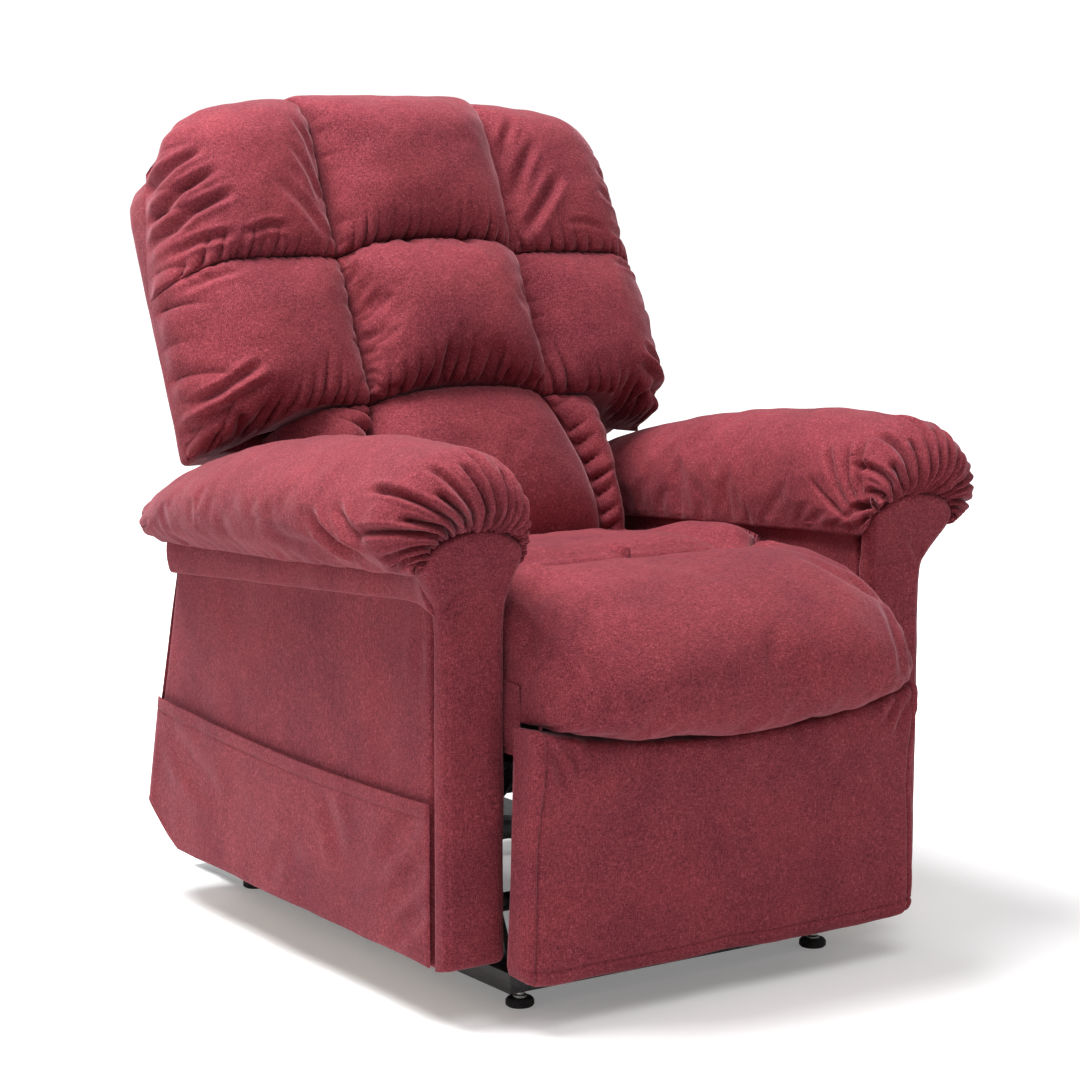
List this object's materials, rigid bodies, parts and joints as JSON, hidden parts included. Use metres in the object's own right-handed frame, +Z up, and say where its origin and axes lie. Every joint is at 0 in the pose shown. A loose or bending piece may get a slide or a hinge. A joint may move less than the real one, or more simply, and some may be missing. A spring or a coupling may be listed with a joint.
{
  "type": "lift recliner chair",
  "caption": "Power lift recliner with a biscuit-tufted back, stuffed roll arms, waterfall seat, panel footrest and a steel lift base on levelling glides.",
  "frame": {"origin": "on the floor, under the centre of the overall bounding box", "axes": "+Z up, -Y is the way the sitter faces, +X is the sitter's left"},
  "size_m": [0.916, 1, 1.1115],
  "materials": {
    "black_steel": "black powder coat",
    "bright_steel": "zinc plated",
    "spring_steel": "plain spring wire",
    "black_rubber": "moulded",
    "frame_wood": "unfinished hardwood and plywood",
    "black_plastic": "fine texture",
    "key_plastic": "smooth",
    "wine_fabric": "wine velour, flecked"
  },
  "bodies": {
    "base": {"base_frame": "black_steel", "glide_pad_front_left": "black_rubber", "glide_stem_front_left": "bright_steel", "glide_pad_front_right": "black_rubber", "glide_stem_front_right": "bright_steel", "glide_pad_rear_left": "black_rubber", "glide_stem_rear_left": "bright_steel", "glide_pad_rear_right": "black_rubber", "glide_stem_rear_right": "bright_steel", "power_supply": "black_plastic"},
    "lift_arms": {"lift_arms": "black_steel"},
    "lift_tie_links": {"lift_tie_link_left": "black_steel", "lift_tie_link_right": "black_steel"},
    "lift_actuator": {"lift_actuator": "black_plastic"},
    "lift_ram": {"lift_ram": "bright_steel"},
    "chassis": {"chassis": "black_steel", "seat_box": "frame_wood", "seat_springs": "spring_steel", "seat_cushion": "wine_fabric", "arm_frame_left": "frame_wood", "arm_side_panel_left": "wine_fabric", "arm_inner_panel_left": "wine_fabric", "side_pocket_left": "wine_fabric", "arm_front_panel_left": "wine_fabric", "arm_pad_left": "wine_fabric", "arm_frame_right": "frame_wood", "arm_side_panel_right": "wine_fabric", "arm_inner_panel_right": "wine_fabric", "side_pocket_right": "wine_fabric", "arm_front_panel_right": "wine_fabric", "arm_pad_right": "wine_fabric", "hand_control": "black_plastic"},
    "backrest": {"back_shell": "wine_fabric", "back_frame": "frame_wood", "back_bracket": "black_steel", "back_pad_bottom_center": "wine_fabric", "back_pad_bottom_left": "wine_fabric", "back_pad_bottom_right": "wine_fabric", "back_pad_middle_center": "wine_fabric", "back_pad_middle_left": "wine_fabric", "back_pad_middle_right": "wine_fabric", "back_pad_top_center": "wine_fabric", "back_pad_top_left": "wine_fabric", "back_pad_top_right": "wine_fabric"},
    "back_actuator": {"back_actuator": "black_plastic"},
    "back_ram": {"back_ram": "bright_steel"},
    "footrest_drive": {"footrest_drive_arms": "black_steel"},
    "footrest_lead": {"footrest_lead_link_left": "black_steel", "footrest_lead_link_right": "black_steel"},
    "footrest": {"footrest_bracket": "black_steel", "footrest_board": "frame_wood", "footrest_pad": "wine_fabric"},
    "footrest_stay": {"footrest_stay_link_left": "black_steel", "footrest_stay_link_right": "black_steel"},
    "footrest_guide": {"footrest_guide_link_left": "black_steel", "footrest_guide_link_right": "black_steel"},
    "key_up": {"key_up": "key_plastic"},
    "key_down": {"key_down": "key_plastic"},
    "key_recline": {"key_recline": "key_plastic"},
    "key_footrest": {"key_footrest": "key_plastic"}
  },
  "joints": [
    {"name": "lift", "type": "hinge", "parent": "base", "child": "lift_arms", "pos_m": [0, -0.215, 0.095], "axis": [1, 0, 0], "range_deg": [0, 46]},
    {"name": "tilt", "type": "hinge", "parent": "lift_arms", "child": "chassis", "pos_m": [0, 0.16, 0.125], "axis": [1, 0, 0], "range_deg": [-21.2, 0]},
    {"name": "lift_tie", "type": "hinge", "parent": "base", "child": "lift_tie_links", "pos_m": [0, -0.2442, 0.1079], "axis": [1, 0, 0], "range_deg": [0, 49.32]},
    {"name": "lift_actuator_swing", "type": "hinge", "parent": "base", "child": "lift_actuator", "pos_m": [0, 0.28, 0.075], "axis": [1, 0, 0], "range_deg": [0, 3.3]},
    {"name": "lift_actuator_stroke", "type": "slide", "parent": "lift_actuator", "child": "lift_ram", "axis": [0, -0.9865, 0.1637], "range_m": [0, 0.04245]},
    {"name": "recline", "type": "hinge", "parent": "chassis", "child": "backrest", "pos_m": [0, 0.165, 0.285], "axis": [-1, 0, 0], "range_deg": [0, 45]},
    {"name": "back_actuator_swing", "type": "hinge", "parent": "chassis", "child": "back_actuator", "pos_m": [0, -0.02, 0.228], "axis": [1, 0, 0], "range_deg": [-3.06, 0]},
    {"name": "back_actuator_stroke", "type": "slide", "parent": "back_actuator", "child": "back_ram", "axis": [0, 0.9997, 0.0232], "range_m": [-0.04608, 0]},
    {"name": "footrest", "type": "hinge", "parent": "chassis", "child": "footrest_drive", "pos_m": [0, -0.088, 0.24], "axis": [-1, 0, 0], "range_deg": [0, 84]},
    {"name": "footrest_lead", "type": "hinge", "parent": "footrest_drive", "child": "footrest_lead", "pos_m": [0, -0.1251, 0.0792], "axis": [1, 0, 0], "range_deg": [0, 122.4]},
    {"name": "footrest_panel", "type": "hinge", "parent": "footrest_lead", "child": "footrest", "pos_m": [0, -0.36, 0.298], "axis": [-1, 0, 0], "range_deg": [0, 135.4]},
    {"name": "footrest_stay", "type": "hinge", "parent": "chassis", "child": "footrest_stay", "pos_m": [0, -0.1448, 0.2037], "axis": [-1, 0, 0], "range_deg": [0, 95.96]},
    {"name": "footrest_guide", "type": "hinge", "parent": "footrest_drive", "child": "footrest_guide", "pos_m": [0, -0.0651, 0.0944], "axis": [1, 0, 0], "range_deg": [0, 120.31]},
    {"name": "press_up", "type": "slide", "parent": "chassis", "child": "key_up", "axis": [-1, 0, 0], "range_m": [0, 0.0012]},
    {"name": "press_down", "type": "slide", "parent": "chassis", "child": "key_down", "axis": [-1, 0, 0], "range_m": [0, 0.0012]},
    {"name": "press_recline", "type": "slide", "parent": "chassis", "child": "key_recline", "axis": [-1, 0, 0], "range_m": [0, 0.0012]},
    {"name": "press_footrest", "type": "slide", "parent": "chassis", "child": "key_footrest", "axis": [-1, 0, 0], "range_m": [0, 0.0012]}
  ],
  "couplings": [
    {"joint": "tilt", "follows": "lift", "ratio": -0.45652},
    {"joint": "lift_tie", "follows": "lift", "ratio": 1.0657},
    {"joint": "lift_actuator_swing", "follows": "lift", "ratio": 0.070353},
    {"joint": "lift_actuator_stroke", "follows": "lift", "m_per_rad": 0.05184},
    {"joint": "back_actuator_swing", "follows": "recline", "ratio": -0.066606},
    {"joint": "back_actuator_stroke", "follows": "recline", "m_per_rad": -0.057524},
    {"joint": "footrest_lead", "follows": "footrest", "ratio": 1.4524},
    {"joint": "footrest_panel", "follows": "footrest", "ratio": 1.6071},
    {"joint": "footrest_stay", "follows": "footrest", "ratio": 1.1376},
    {"joint": "footrest_guide", "follows": "footrest", "ratio": 1.4275}
  ]
}
